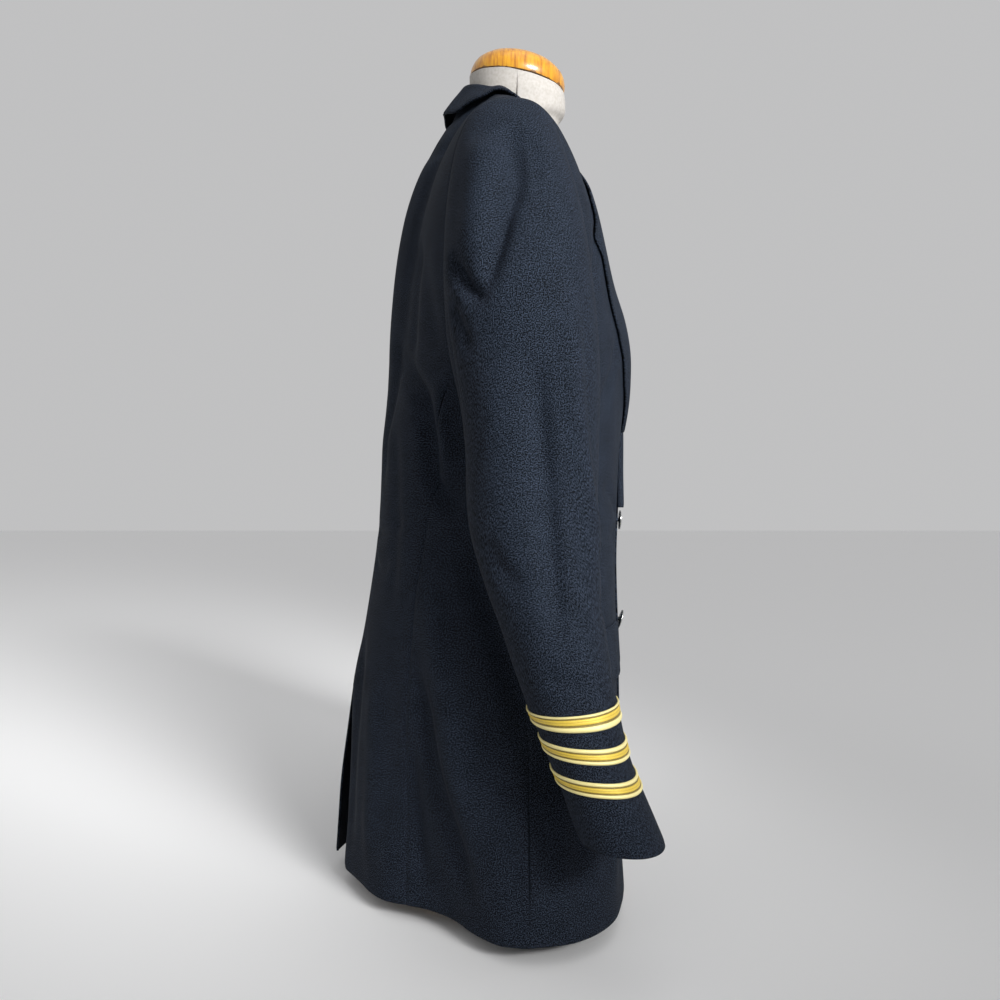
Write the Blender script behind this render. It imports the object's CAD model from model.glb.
"""Looks of a pilot uniform jacket worn by a limbless dress form.

Metres, +Z up, the wearer faces -Y and the wearer's left is +X. Each cut piece of cloth is a thin
shell on the form of its solid, with seams drawn in and the main folds placed by hand.
"""

import logging
import math
from dataclasses import dataclass
from enum import Enum

import bmesh
import bpy
import numpy as np
from mathutils import Matrix


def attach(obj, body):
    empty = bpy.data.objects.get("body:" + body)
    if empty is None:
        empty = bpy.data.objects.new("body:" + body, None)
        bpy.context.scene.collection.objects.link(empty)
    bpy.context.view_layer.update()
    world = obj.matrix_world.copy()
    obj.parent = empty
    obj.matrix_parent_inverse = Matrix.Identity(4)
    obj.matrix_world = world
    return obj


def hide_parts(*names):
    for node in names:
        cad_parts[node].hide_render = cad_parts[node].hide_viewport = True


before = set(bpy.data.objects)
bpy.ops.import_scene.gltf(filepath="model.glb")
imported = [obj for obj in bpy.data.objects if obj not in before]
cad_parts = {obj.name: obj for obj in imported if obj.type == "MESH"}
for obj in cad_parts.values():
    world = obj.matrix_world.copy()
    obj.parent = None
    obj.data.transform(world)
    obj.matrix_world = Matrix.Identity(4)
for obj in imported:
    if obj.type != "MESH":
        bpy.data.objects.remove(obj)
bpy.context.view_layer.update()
log = logging.getLogger("pilot_jacket")

WALL = 0.002
SEAM_GAP = 0.00004


class Side(Enum):
    """The wearer's side. The value is the sign of X."""

    LEFT = 1
    RIGHT = -1


class View(Enum):
    """The way from which a fold is laid out: its path holds the two coordinates seen from there."""

    OUTER = "outer"
    INNER = "inner"
    FRONT = "front"
    BACK = "back"


# Splines and surfaces


def spline(values: np.ndarray, knots: np.ndarray, at: np.ndarray) -> np.ndarray:
    """Smooth values through knots.

    Args:
        values: one row of numbers for each knot.
        knots: rising knot positions.
        at: positions to read.

    Returns:
        One row for each position.
    """
    values = np.asarray(values, float)
    knots = np.asarray(knots, float)
    at = np.atleast_1d(np.asarray(at, float))
    slopes = np.gradient(values, knots, axis=0)
    i = np.clip(np.searchsorted(knots, at) - 1, 0, len(knots) - 2)
    width = knots[i + 1] - knots[i]
    u = (at - knots[i]) / width
    shape = (-1,) + (1,) * (values.ndim - 1)
    u, width = u.reshape(shape), width.reshape(shape)
    return (
        (2 * u**3 - 3 * u**2 + 1) * values[i]
        + (u**3 - 2 * u**2 + u) * width * slopes[i]
        + (3 * u**2 - 2 * u**3) * values[i + 1]
        + (u**3 - u**2) * width * slopes[i + 1]
    )


def along_points(points: np.ndarray, shares: np.ndarray) -> np.ndarray:
    """Points at shares of the length of a smooth curve through the given points."""
    points = np.asarray(points, float)
    steps = np.linalg.norm(np.diff(points, axis=0), axis=1)
    knots = np.concatenate([[0], np.cumsum(steps)])
    return spline(points, knots, np.asarray(shares) * knots[-1])


def unit(vectors: np.ndarray) -> np.ndarray:
    """The vectors at length one."""
    return vectors / np.maximum(np.linalg.norm(vectors, axis=-1, keepdims=True), 1e-12)


def smooth(value: np.ndarray) -> np.ndarray:
    """Smooth step from 0 to 1."""
    value = np.clip(value, 0.0, 1.0)
    return value * value * (3 - 2 * value)


def ticks(cells: int, per_cell: int, close: tuple[float, ...] = (0.035, 0.08, 0.14)) -> np.ndarray:
    """Even parameters over a number of cells, with closer ones beside both ends."""
    even = np.linspace(0, cells, cells * per_cell + 1)
    even = even[(even < 1e-9) | (even > close[-1] * 1.4)]
    even = even[(even > cells - 1e-9) | (even < cells - close[-1] * 1.4)]
    return np.unique(np.concatenate([even, close, [cells - c for c in close]]))


class Surface:
    """A smooth surface through a coarse grid of points, read at fractional rows and columns."""

    def __init__(self, grid: np.ndarray) -> None:
        """Keeps the grid and its size."""
        self.grid = grid
        self.rows, self.columns = grid.shape[:2]

    def dense(self, rows: np.ndarray, columns: np.ndarray) -> np.ndarray:
        """Points at every pair of the given rows and columns."""
        first = spline(self.grid, np.arange(self.rows), rows)
        turned = spline(first.transpose(1, 0, 2), np.arange(self.columns), columns)
        return turned.transpose(1, 0, 2)

    def at(self, rows: np.ndarray, columns: np.ndarray) -> np.ndarray:
        """Points at matching rows and columns, of any shape."""
        rows, columns = np.broadcast_arrays(rows, columns)
        flat_rows, flat_columns = rows.ravel(), columns.ravel()
        first = spline(self.grid, np.arange(self.rows), flat_rows)
        knots = np.arange(self.columns)
        i = np.clip(np.floor(flat_columns).astype(int), 0, self.columns - 2)
        u = (flat_columns - i)[:, None]
        slopes = np.gradient(first, knots, axis=1)
        pick = np.arange(len(flat_rows))
        points = (
            (2 * u**3 - 3 * u**2 + 1) * first[pick, i]
            + (u**3 - 2 * u**2 + u) * slopes[pick, i]
            + (3 * u**2 - 2 * u**3) * first[pick, i + 1]
            + (u**3 - u**2) * slopes[pick, i + 1]
        )
        return points.reshape(*rows.shape, 3)

    def normals(self, rows: np.ndarray, columns: np.ndarray, step: float = 0.12) -> np.ndarray:
        """Outward normals at matching rows and columns."""
        up = self.at(rows + step, columns) - self.at(rows - step, columns)
        across = self.at(rows, columns + step) - self.at(rows, columns - step)
        return unit(np.cross(up, across))


def grid_normals(points: np.ndarray, outward: float = 1.0) -> np.ndarray:
    """Normals of a dense grid whose columns run clockwise seen from outside."""
    return unit(np.cross(np.gradient(points, axis=0), np.gradient(points, axis=1))) * outward


def pinned(points: np.ndarray, column: int, curve: np.ndarray, reach: int) -> np.ndarray:
    """A dense grid with an edge column moved onto a curve, and the shift eased out inside it."""
    moved = points.copy()
    shift = curve - points[: len(curve), column]
    for k in range(reach):
        ease = float(smooth(np.array(1 - k / reach)))
        j = k if column == 0 else points.shape[1] - 1 - k
        moved[: len(curve), j] += shift * ease
    return moved


# Folds


@dataclass(frozen=True)
class Fold:
    """A soft trough or ridge.

    Args:
        view: where it is laid out from.
        path: points of its line, (y, z) from the sides and (x, z) from the front or back.
        width: half width.
        depth: depth of a trough, negative, or height of a ridge.
        lean: steeper on one side, from -1 to 1.
    """

    view: View
    path: tuple[tuple[float, float], ...]
    width: float
    depth: float
    lean: float = 0.0

    def offset(self, points: np.ndarray, normals: np.ndarray) -> np.ndarray:
        """Shift along the normal at each point, whose X is positive on the wearer's left half."""
        axis = 1 if self.view in (View.OUTER, View.INNER) else 0
        place = points[..., [axis, 2]].reshape(-1, 2)
        facing = {
            View.OUTER: normals[..., 0],
            View.INNER: -normals[..., 0],
            View.FRONT: -normals[..., 1],
            View.BACK: normals[..., 1],
        }[self.view].ravel()
        line = along_points(np.array(self.path), np.linspace(0, 1, 20))
        starts, ways = line[:-1], np.diff(line, axis=0)
        lengths = np.linalg.norm(ways, axis=1)
        before = np.concatenate([[0], np.cumsum(lengths)])
        rest = place[:, None] - starts[None]
        along = np.clip((rest * ways).sum(-1) / lengths**2, 0, 1)
        away = rest - along[..., None] * ways
        distance = np.linalg.norm(away, axis=-1)
        nearest = distance.argmin(axis=1)
        pick = np.arange(len(place))
        distance = distance[pick, nearest]
        share = (before[nearest] + along[pick, nearest] * lengths[nearest]) / before[-1]
        cross = ways[nearest, 0] * away[pick, nearest, 1] - ways[nearest, 1] * away[pick, nearest, 0]
        width = self.width * (1 + self.lean * np.sign(cross))
        ratio = (distance / width) ** 2
        profile = np.exp(-ratio) * (1 - 0.45 * ratio) + 0.0
        ends = smooth(share / 0.25) * smooth((1 - share) / 0.25)
        seen = smooth((facing + 0.05) / 0.4)
        return (self.depth * profile * ends * seen).reshape(points.shape[:-1])


# Sleeve folds as the photographed side has them
SLEEVE_FOLDS = (
    Fold(View.OUTER, ((-0.0100, 0.702), (-0.0128, 0.663), (-0.0139, 0.637), (-0.0063, 0.614),
                      (-0.0008, 0.591), (0.0071, 0.569), (0.0150, 0.540)), 0.0085, -0.0058, 0.15),
    Fold(View.OUTER, ((-0.0215, 0.690), (-0.0272, 0.655), (-0.0271, 0.630)), 0.0065, -0.0016),
    Fold(View.OUTER, ((0.0150, 0.690), (0.0165, 0.643), (0.0200, 0.605), (0.0250, 0.568)), 0.0150, 0.0042),
    Fold(View.OUTER, ((0.0420, 0.585), (0.0340, 0.567), (0.0205, 0.548), (0.0060, 0.544)), 0.0062, -0.0056, -0.2),
    Fold(View.OUTER, ((0.0410, 0.545), (0.0330, 0.526), (0.0230, 0.503)), 0.0050, -0.0026),
    Fold(View.OUTER, ((-0.0270, 0.515), (-0.0320, 0.452), (-0.0385, 0.387), (-0.0435, 0.325), (-0.0490, 0.262)), 0.0110, -0.0036, 0.2),
    Fold(View.OUTER, ((-0.0530, 0.575), (-0.0585, 0.520), (-0.0610, 0.465), (-0.0690, 0.402), (-0.0800, 0.335), (-0.0860, 0.285)), 0.0090, 0.0030, 0.35),
    Fold(View.OUTER, ((0.0060, 0.500), (0.0040, 0.430), (-0.0010, 0.360)), 0.0170, 0.0016),
    Fold(View.OUTER, ((0.0150, 0.360), (-0.0010, 0.330), (-0.0200, 0.315)), 0.0100, -0.0022),
    Fold(View.OUTER, ((-0.0300, 0.255), (-0.0520, 0.243), (-0.0760, 0.240)), 0.0090, -0.0014),
    Fold(View.INNER, ((0.0200, 0.470), (0.0060, 0.452), (-0.0150, 0.446)), 0.0070, -0.0030),
    Fold(View.INNER, ((0.0150, 0.420), (-0.0100, 0.400), (-0.0400, 0.392)), 0.0100, -0.0030),
    Fold(View.INNER, ((0.0100, 0.350), (-0.0200, 0.330), (-0.0520, 0.326)), 0.0110, -0.0026),
    Fold(View.INNER, ((-0.0300, 0.300), (-0.0420, 0.250), (-0.0520, 0.205)), 0.0120, -0.0026),
    Fold(View.FRONT, ((0.2080, 0.610), (0.2180, 0.560), (0.2200, 0.500)), 0.0090, -0.0026),
    Fold(View.FRONT, ((0.2000, 0.350), (0.2250, 0.335), (0.2480, 0.338)), 0.0080, -0.0026),
    Fold(View.FRONT, ((0.2040, 0.318), (0.2280, 0.300), (0.2500, 0.301)), 0.0080, -0.0020),
    Fold(View.BACK, ((0.2050, 0.560), (0.2180, 0.500), (0.2260, 0.440)), 0.0110, -0.0022),
)

# Body folds of the photographed side
BODY_FOLDS = (
    Fold(View.OUTER, ((0.1050, 0.540), (0.0900, 0.507), (0.0732, 0.478), (0.0655, 0.437), (0.0583, 0.392),
                      (0.0400, 0.374), (0.0200, 0.372)), 0.0085, -0.0066, -0.1),
    Fold(View.OUTER, ((0.0470, 0.402), (0.0400, 0.388), (0.0300, 0.382)), 0.0120, -0.0035),
    Fold(View.OUTER, ((0.0830, 0.640), (0.0694, 0.588), (0.0589, 0.535), (0.0495, 0.505)), 0.0090, -0.0016),
    Fold(View.OUTER, ((0.0545, 0.500), (0.0502, 0.446), (0.0451, 0.401)), 0.0085, 0.0030),
    Fold(View.OUTER, ((0.1000, 0.470), (0.0990, 0.362), (0.1037, 0.270)), 0.0070, -0.0016),
    Fold(View.OUTER, ((0.0780, 0.240), (0.0700, 0.197), (0.0589, 0.143), (0.0355, 0.076), (0.0200, 0.020)), 0.0100, -0.0050, 0.15),
    Fold(View.OUTER, ((0.0835, 0.175), (0.0777, 0.108), (0.0680, 0.030)), 0.0070, -0.0022),
    Fold(View.OUTER, ((0.0300, 0.345), (0.0100, 0.285), (-0.0174, 0.210), (-0.0300, 0.160)), 0.0170, -0.0055),
    Fold(View.OUTER, ((0.0660, 0.320), (0.0540, 0.215), (0.0400, 0.150), (0.0150, 0.070)), 0.0150, 0.0030),
    Fold(View.OUTER, ((-0.0080, 0.190), (-0.0220, 0.110), (-0.0330, 0.022)), 0.0150, 0.0030),
    Fold(View.OUTER, ((-0.0620, 0.170), (-0.0680, 0.100), (-0.0720, 0.020)), 0.0130, -0.0030),
    Fold(View.BACK, ((0.0500, 0.560), (0.0560, 0.500), (0.0540, 0.440), (0.0480, 0.385)), 0.0130, -0.0026),
    Fold(View.BACK, ((0.0950, 0.640), (0.1020, 0.575), (0.1000, 0.500)), 0.0150, -0.0024),
    Fold(View.BACK, ((0.0120, 0.356), (0.0420, 0.346), (0.0780, 0.352), (0.1080, 0.366)), 0.0080, -0.0022),
    Fold(View.BACK, ((0.0240, 0.320), (0.0560, 0.312), (0.0880, 0.322)), 0.0090, -0.0020),
    Fold(View.BACK, ((0.0300, 0.260), (0.0420, 0.180), (0.0500, 0.090), (0.0550, 0.020)), 0.0160, -0.0040),
    Fold(View.BACK, ((0.0780, 0.220), (0.0900, 0.130), (0.0980, 0.030)), 0.0140, 0.0030),
    Fold(View.BACK, ((0.0220, 0.735), (0.0500, 0.722), (0.0840, 0.726)), 0.0090, -0.0014),
    Fold(View.FRONT, ((0.0260, 0.366), (0.0600, 0.379), (0.1000, 0.398)), 0.0070, -0.0022),
    Fold(View.FRONT, ((0.0240, 0.350), (0.0620, 0.345), (0.1040, 0.352)), 0.0080, -0.0018),
    Fold(View.FRONT, ((0.0900, 0.540), (0.1050, 0.500), (0.1200, 0.455)), 0.0120, -0.0026),
    Fold(View.FRONT, ((0.1250, 0.640), (0.1420, 0.600), (0.1550, 0.555)), 0.0110, -0.0032),
    Fold(View.FRONT, ((0.0650, 0.195), (0.0760, 0.120), (0.0820, 0.025)), 0.0150, -0.0030),
    Fold(View.FRONT, ((0.1350, 0.205), (0.1500, 0.120), (0.1620, 0.025)), 0.0150, 0.0026),
    Fold(View.FRONT, ((0.0250, 0.170), (0.0280, 0.090), (0.0250, 0.030)), 0.0120, -0.0012),
)


def hidden_side(folds: tuple[Fold, ...]) -> tuple[Fold, ...]:
    """Folds like the photographed side's, moved and sized unevenly, for the side away from it."""
    changed = []
    for number, fold in enumerate(folds):
        turn = number * 2.4
        shift_a, shift_z = 0.006 * math.sin(turn), 0.011 * math.cos(turn * 1.3)
        path = tuple((a + shift_a, z + shift_z) for a, z in fold.path)
        width = fold.width * (1.0 + 0.2 * math.cos(turn))
        depth = fold.depth * (0.85 + 0.25 * math.sin(turn + 1.0))
        changed.append(Fold(fold.view, path, width, depth, -fold.lean))
    return tuple(changed)


# How much deeper the folds are than their tables say, as the photograph's shading asks
FOLD_STRENGTH = {"sleeve": 1.7, "body": 1.5}
FOLDS = {
    Side.RIGHT: {"sleeve": SLEEVE_FOLDS, "body": BODY_FOLDS},
    Side.LEFT: {"sleeve": hidden_side(SLEEVE_FOLDS), "body": hidden_side(BODY_FOLDS)},
}


def ripple(points: np.ndarray, scale: float, amount: float) -> np.ndarray:
    """Slight unevenness of hanging cloth, the same for points that touch."""
    x, y, z = (points[..., k] / scale for k in range(3))
    wave = np.sin(1.9 * x + 2.3 * y + 0.7 * z) * np.cos(1.3 * z - 1.1 * y + 0.5)
    wave += 0.6 * np.sin(3.1 * y - 1.7 * z + 1.2 * x + 2.0) * np.cos(2.2 * x + 0.8 * z)
    return amount * wave


def fold_offset(points: np.ndarray, normals: np.ndarray, side: Side, where: str) -> np.ndarray:
    """All folds of a part of the jacket at points of the left-half frame."""
    total = ripple(points + np.array([0.3 * side.value, 0, 0]), 0.055, 0.0004)
    for fold in FOLDS[side][where]:
        total = total + FOLD_STRENGTH[where] * fold.offset(points, normals)
    return total


# Meshes


def arc_lengths(points: np.ndarray, axis: int) -> np.ndarray:
    """Distance along one direction of a grid, from its first row or column."""
    steps = np.linalg.norm(np.diff(points, axis=axis), axis=-1)
    lengths = np.cumsum(steps, axis=axis)
    pad = [(0, 0), (0, 0)]
    pad[axis] = (1, 0)
    return np.pad(lengths, pad)


def sheet_mesh(
    name: str, points: np.ndarray, flip: bool, joined: bool = False, up: np.ndarray | None = None
) -> bpy.types.Mesh:
    """Mesh of a grid of points, with a UV map in metres along the cloth.

    Args:
        name: name of the mesh.
        points: rows by columns by three.
        flip: whether the faces turn round to face out.
        joined: whether the last column is the first one again.
        up: distance of each row, where the UV map isn't to follow the points.

    Returns:
        The open mesh.
    """
    rows, columns = points.shape[:2]
    shell = bmesh.new()
    bmesh.ops.create_grid(shell, x_segments=columns - 1, y_segments=rows - 1, size=1.0)
    shell.verts.ensure_lookup_table()
    for vert, place in zip(shell.verts, points.reshape(-1, 3)):
        vert.co = place
    across = arc_lengths(points, 1)
    across = (across - across[:, columns // 2, None]).ravel()
    heights = arc_lengths(points, 0).ravel() if up is None else np.repeat(up, columns)
    layer = shell.loops.layers.uv.new("cloth")
    for face in shell.faces:
        for loop in face.loops:
            index = loop.vert.index
            loop[layer].uv = (across[index], heights[index])
    if flip:
        bmesh.ops.reverse_faces(shell, faces=shell.faces[:])
    if joined:
        bmesh.ops.remove_doubles(shell, verts=shell.verts[:], dist=1e-6)
    mesh = bpy.data.meshes.new(name)
    shell.to_mesh(mesh)
    shell.free()
    mesh.shade_smooth()
    return mesh


def add_piece(name: str, mesh: bpy.types.Mesh, material: bpy.types.Material, node: str = "") -> bpy.types.Object:
    """Puts a piece in the scene on the part's body.

    Args:
        name: name of the object.
        mesh: its mesh, in place.
        material: its finish.
        node: the solid that it stands for, or empty.

    Returns:
        The object.
    """
    piece = bpy.data.objects.new(name, mesh)
    bpy.context.scene.collection.objects.link(piece)
    piece.data.materials.append(material)
    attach(piece, "root")
    if node:
        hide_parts(node)
    log.info("built %s", name)
    return piece


def thicken(piece: bpy.types.Object, thickness: float, offset: float = -1.0) -> None:
    """Gives an open sheet its wall."""
    wall = piece.modifiers.new("wall", "SOLIDIFY")
    wall.thickness = thickness
    wall.offset = offset
    wall.use_even_offset = False
    wall.use_quality_normals = True


def seam_dip(points: np.ndarray, edges: dict[str, float], width: float = 0.0022) -> np.ndarray:
    """How far the cloth turns in beside each sewn or folded edge of a grid.

    Args:
        points: the dense grid.
        edges: depth at "left", "right", "bottom" or "top".
        width: how far the turn reaches.

    Returns:
        A negative shift for each point.
    """
    across, up = arc_lengths(points, 1), arc_lengths(points, 0)
    distance = {
        "left": across,
        "right": across[:, -1:] - across,
        "bottom": up,
        "top": up[-1:] - up,
    }
    total = np.zeros(points.shape[:2])
    for edge, depth in edges.items():
        total -= depth * np.exp(-((distance[edge] / width) ** 2))
    return total


@dataclass(frozen=True)
class Cut:
    """What shows of a piece as it was cut, before its turnings.

    Args:
        width, length: in metres.
        area: in square metres.
        held: how the worn garment holds it.
        rests_on: nodes that it lies on or hangs from.
    """

    width: float
    length: float
    area: float
    held: str
    rests_on: tuple[str, ...]


ALLOWANCE_DEPTH, ALLOWANCE_REACH = 0.0034, 0.0009


def with_allowance(points: np.ndarray, normals: np.ndarray) -> np.ndarray:
    """The grid with its first edge turned in behind the neighbouring piece, as a seam allowance."""
    out = unit(points[:, 0] - points[:, 1])
    turned = points[:, 0] - normals[:, 0] * ALLOWANCE_DEPTH + out * ALLOWANCE_REACH
    middle = (turned + points[:, 0]) / 2
    return np.concatenate([turned[:, None], middle[:, None], points], axis=1)


def trimmed(points: np.ndarray, edges: tuple[str, ...]) -> np.ndarray:
    """The grid with its sewn edges drawn in by half the seam's gap."""
    moved = points.copy()
    index = {
        "left": (np.s_[:, 0], np.s_[:, 1]),
        "right": (np.s_[:, -1], np.s_[:, -2]),
        "bottom": (np.s_[0], np.s_[1]),
        "top": (np.s_[-1], np.s_[-2]),
    }
    for edge in edges:
        at, beside = index[edge]
        moved[at] = moved[at] + unit(moved[beside] - moved[at]) * SEAM_GAP / 2
    return moved


# Form of the jacket, for the wearer's left half

SECTION_ANGLES = np.array((0, 30, 50, 65, 75, 90, 110, 130, 155, 180), float)
SECTION_ROWS = np.array((
    # z, then the distance from the vertical axis at each angle from the centre back to the front
    (0.015, 0.171, 0.158, 0.166, 0.161, 0.171, 0.2195, 0.2195, 0.174, 0.130, 0.1195),
    (0.060, 0.168, 0.156, 0.159, 0.157, 0.173, 0.212, 0.212, 0.169, 0.129, 0.1195),
    (0.100, 0.165, 0.154, 0.152, 0.155, 0.176, 0.205, 0.205, 0.165, 0.128, 0.1190),
    (0.150, 0.1585, 0.150, 0.148, 0.157, 0.177, 0.194, 0.193, 0.160, 0.127, 0.1190),
    (0.200, 0.150, 0.146, 0.146, 0.155, 0.169, 0.181, 0.179, 0.155, 0.1265, 0.1185),
    (0.250, 0.1395, 0.139, 0.143, 0.152, 0.160, 0.168, 0.166, 0.148, 0.1255, 0.1175),
    (0.300, 0.131, 0.134, 0.141, 0.149, 0.153, 0.157, 0.155, 0.142, 0.1245, 0.1165),
    (0.360, 0.1235, 0.1285, 0.137, 0.143, 0.1465, 0.149, 0.146, 0.137, 0.1245, 0.1165),
    (0.400, 0.1204, 0.128, 0.1385, 0.146, 0.151, 0.1545, 0.151, 0.141, 0.126, 0.1180),
    (0.440, 0.1185, 0.128, 0.142, 0.152, 0.157, 0.160, 0.157, 0.146, 0.129, 0.1210),
))
SEAM_ROWS = np.array((
    # z, angle of the side-back seam, angle of the side-front seam
    (0.015, 58, 96),
    (0.200, 54, 98),
    (0.300, 58, 101),
    (0.440, 68, 106),
), float)
LOWER_Z = np.array((0.015, 0.05, 0.09, 0.13, 0.17, 0.212, 0.237, 0.262, 0.30, 0.336, 0.372, 0.405, 0.44))
BREAK_Z, YOKE_Z, HEM_Z = 0.372, 0.44, 0.015
OVERLAP, CORNER_RADIUS = 0.018, 0.025
CENTRE_BACK = (
    (0.0, 0.1185, 0.440), (0.0, 0.1163, 0.483), (0.0, 0.1121, 0.566), (0.0, 0.1038, 0.638),
    (0.0, 0.0913, 0.690), (0.0, 0.0740, 0.727), (0.0, 0.0592, 0.755),
)
ROLL_LINE = np.array((
    (-0.018, -0.1180, 0.372), (0.004, -0.1215, 0.440), (0.022, -0.1265, 0.500), (0.033, -0.1240, 0.545),
    (0.045, -0.1060, 0.600), (0.055, -0.0840, 0.655), (0.062, -0.0590, 0.705), (0.067, -0.0320, 0.749),
    (0.071, 0.0060, 0.7745),
))
BACK_NECK = ((0.0, 0.0592, 0.755), (0.024, 0.0540, 0.757), (0.048, 0.0380, 0.763), (0.071, 0.0060, 0.7745))
SHOULDER_SEAM = ((0.071, 0.0060, 0.7745), (0.105, 0.0010, 0.7630), (0.150, -0.0040, 0.7470))
SLEEVE_RINGS = np.array((
    # x, y, z, half height, half depth, roll, pitch, square
    (0.1840, -0.0080, 0.5900, 0.1360, 0.0535, 81.3, 0.0, 2.8),
    (0.1950, -0.0095, 0.5805, 0.1265, 0.0565, 76.5, 0.0, 2.7),
    (0.2050, -0.0130, 0.5640, 0.1130, 0.0605, 69.0, 0.0, 2.5),
    (0.2142, -0.0170, 0.5350, 0.0930, 0.0620, 58.0, 0.0, 2.4),
    (0.2192, -0.0210, 0.5010, 0.0730, 0.0610, 42.0, 0.0, 2.3),
    (0.2210, -0.0240, 0.4680, 0.0590, 0.0585, 21.0, 0.0, 2.2),
    (0.2205, -0.0265, 0.4300, 0.0525, 0.0555, 0.0, 0.0, 2.2),
    (0.2210, -0.0265, 0.3900, 0.0515, 0.0545, 0.0, 0.0, 2.2),
    (0.2235, -0.0270, 0.3600, 0.0505, 0.0520, 0.0, 0.0, 2.2),
    (0.2255, -0.0305, 0.3360, 0.0500, 0.0490, 0.0, 1.5, 2.2),
    (0.2280, -0.0360, 0.3100, 0.0490, 0.0455, 0.0, 3.0, 2.2),
    (0.2310, -0.0425, 0.2850, 0.0485, 0.0420, 0.0, 5.0, 2.2),
    (0.2345, -0.0490, 0.2580, 0.0478, 0.0395, 0.0, 6.0, 2.2),
    (0.2380, -0.0562, 0.2290, 0.0470, 0.0367, 0.0, 5.5, 2.2),
    (0.2400, -0.0592, 0.2180, 0.0468, 0.0359, 0.0, 4.5, 2.2),
    (0.2425, -0.0658, 0.1960, 0.0465, 0.0343, 0.0, -1.5, 2.2),
    (0.2445, -0.0722, 0.1760, 0.0462, 0.0337, 0.0, -3.5, 2.2),
    (0.2460, -0.0810, 0.1550, 0.0460, 0.0335, 0.0, -4.0, 2.2),
    (0.2475, -0.0890, 0.1350, 0.0460, 0.0340, 0.0, -3.5, 2.2),
    (0.2490, -0.0970, 0.1150, 0.0460, 0.0345, 0.0, -3.0, 2.2),
))
SEGMENTS = 24
ARM_SEAMS = (6, 17)
BODY_SEAMS_AT = (8, 14)
RISE_ROWS = 2


def body_points(angles: np.ndarray, z: float) -> np.ndarray:
    """Points of the body's outer surface at one height, below the yoke."""
    angles = np.asarray(angles, float)
    radii = np.array([spline(SECTION_ROWS[:, k], SECTION_ROWS[:, 0], z)[0] for k in range(1, 11)])
    radius = spline(radii, SECTION_ANGLES, 180.0 - abs(180.0 - angles))
    turn = np.radians(angles)
    return np.stack([radius * np.sin(turn), radius * np.cos(turn), np.full_like(turn, z)], axis=-1)


def seam_angle(which: int, z: float) -> float:
    """Angle of the side-back (1) or side-front (2) seam at a height."""
    return float(spline(SEAM_ROWS[:, which], SEAM_ROWS[:, 0], z)[0])


def sleeve_points(rings: np.ndarray, segments: np.ndarray) -> np.ndarray:
    """Points of the left sleeve at every pair of rings and segments, 0 the top and 6 the back."""
    rows = spline(SLEEVE_RINGS, np.arange(len(SLEEVE_RINGS)), rings)
    roll, pitch = np.radians(np.maximum(rows[:, 5], 0)), np.radians(rows[:, 6])
    zero = np.zeros_like(roll)
    out = np.stack([np.cos(roll), zero, np.sin(roll)], axis=-1) * rows[:, 3:4]
    back = np.stack([zero, np.cos(pitch), -np.sin(pitch)], axis=-1) * rows[:, 4:5]
    turn = 2 * np.pi * np.atleast_1d(segments) / SEGMENTS
    power = 2.0 / rows[:, 7:8]
    c = np.sign(np.cos(turn)) * abs(np.cos(turn)) ** power
    s = np.sign(np.sin(turn)) * abs(np.sin(turn)) ** power
    return rows[:, None, :3] + out[:, None] * c[..., None] + back[:, None] * s[..., None]


def armhole(segments: np.ndarray) -> np.ndarray:
    """Points of the armhole's edge at ring segments."""
    return sleeve_points(np.array([0.0]), segments)[0]


def coons(bottom: np.ndarray, top: np.ndarray, inner: np.ndarray, outer: np.ndarray) -> np.ndarray:
    """Patch between four edges. bottom and top run inner to outer, inner and outer upwards."""
    t = np.linspace(0, 1, len(inner))[:, None, None]
    s = np.linspace(0, 1, len(bottom))[None, :, None]
    ruled = (1 - t) * bottom[None] + t * top[None] + (1 - s) * inner[:, None] + s * outer[:, None]
    corners = (1 - t) * ((1 - s) * bottom[0] + s * bottom[-1]) + t * ((1 - s) * top[0] + s * top[-1])
    return ruled - corners


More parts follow.
